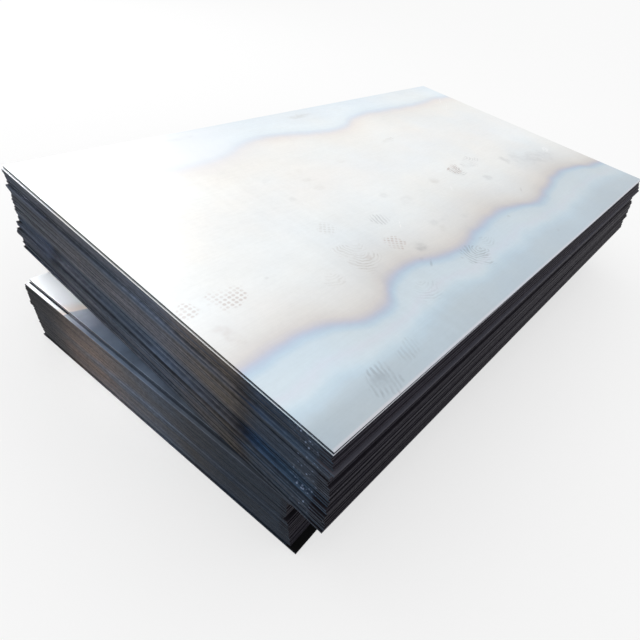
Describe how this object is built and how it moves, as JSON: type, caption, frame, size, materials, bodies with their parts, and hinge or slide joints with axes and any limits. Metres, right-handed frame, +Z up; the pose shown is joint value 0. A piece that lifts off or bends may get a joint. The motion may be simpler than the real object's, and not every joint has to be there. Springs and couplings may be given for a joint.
{
  "type": "stack of steel plates",
  "caption": "Stack of hot-rolled steel plates: an upper bundle on a narrower lower one set askew, the top plate with heat tint and shoe prints.",
  "frame": {"origin": "middle of the stack's plan, at floor height", "axes": "+X along the long side of the upper plates, away from the end the picture shows; +Y along their short side; +Z up"},
  "size_m": [2.5352, 1.5472, 0.5807],
  "materials": {
    "mill_steel": "hot-rolled mill surface, beige grey with blue heat tint along the long edges"
  },
  "bodies": {
    "root": {"lower_plates_03_to_06": "mill_steel", "lower_plates_07_to_10": "mill_steel", "lower_plates_11_to_14": "mill_steel", "lower_plates_15_to_18": "mill_steel", "lower_plates_19_to_22": "mill_steel", "lower_plates_23_to_26": "mill_steel", "lower_plates_27_to_30": "mill_steel", "lower_second_plate": "mill_steel", "lower_top_plate": "mill_steel", "lowest_plate": "mill_steel", "upper_bottom_plate": "mill_steel", "upper_plates_03_to_06": "mill_steel", "upper_plates_07_to_10": "mill_steel", "upper_plates_11_to_14": "mill_steel", "upper_plates_15_to_18": "mill_steel", "upper_plates_19_to_22": "mill_steel", "upper_plates_23_to_26": "mill_steel", "upper_plates_27_to_30": "mill_steel", "upper_plates_31_to_34": "mill_steel", "upper_plates_35_to_38": "mill_steel", "upper_second_plate": "mill_steel", "upper_top_plate": "mill_steel"}
  },
  "joints": []
}
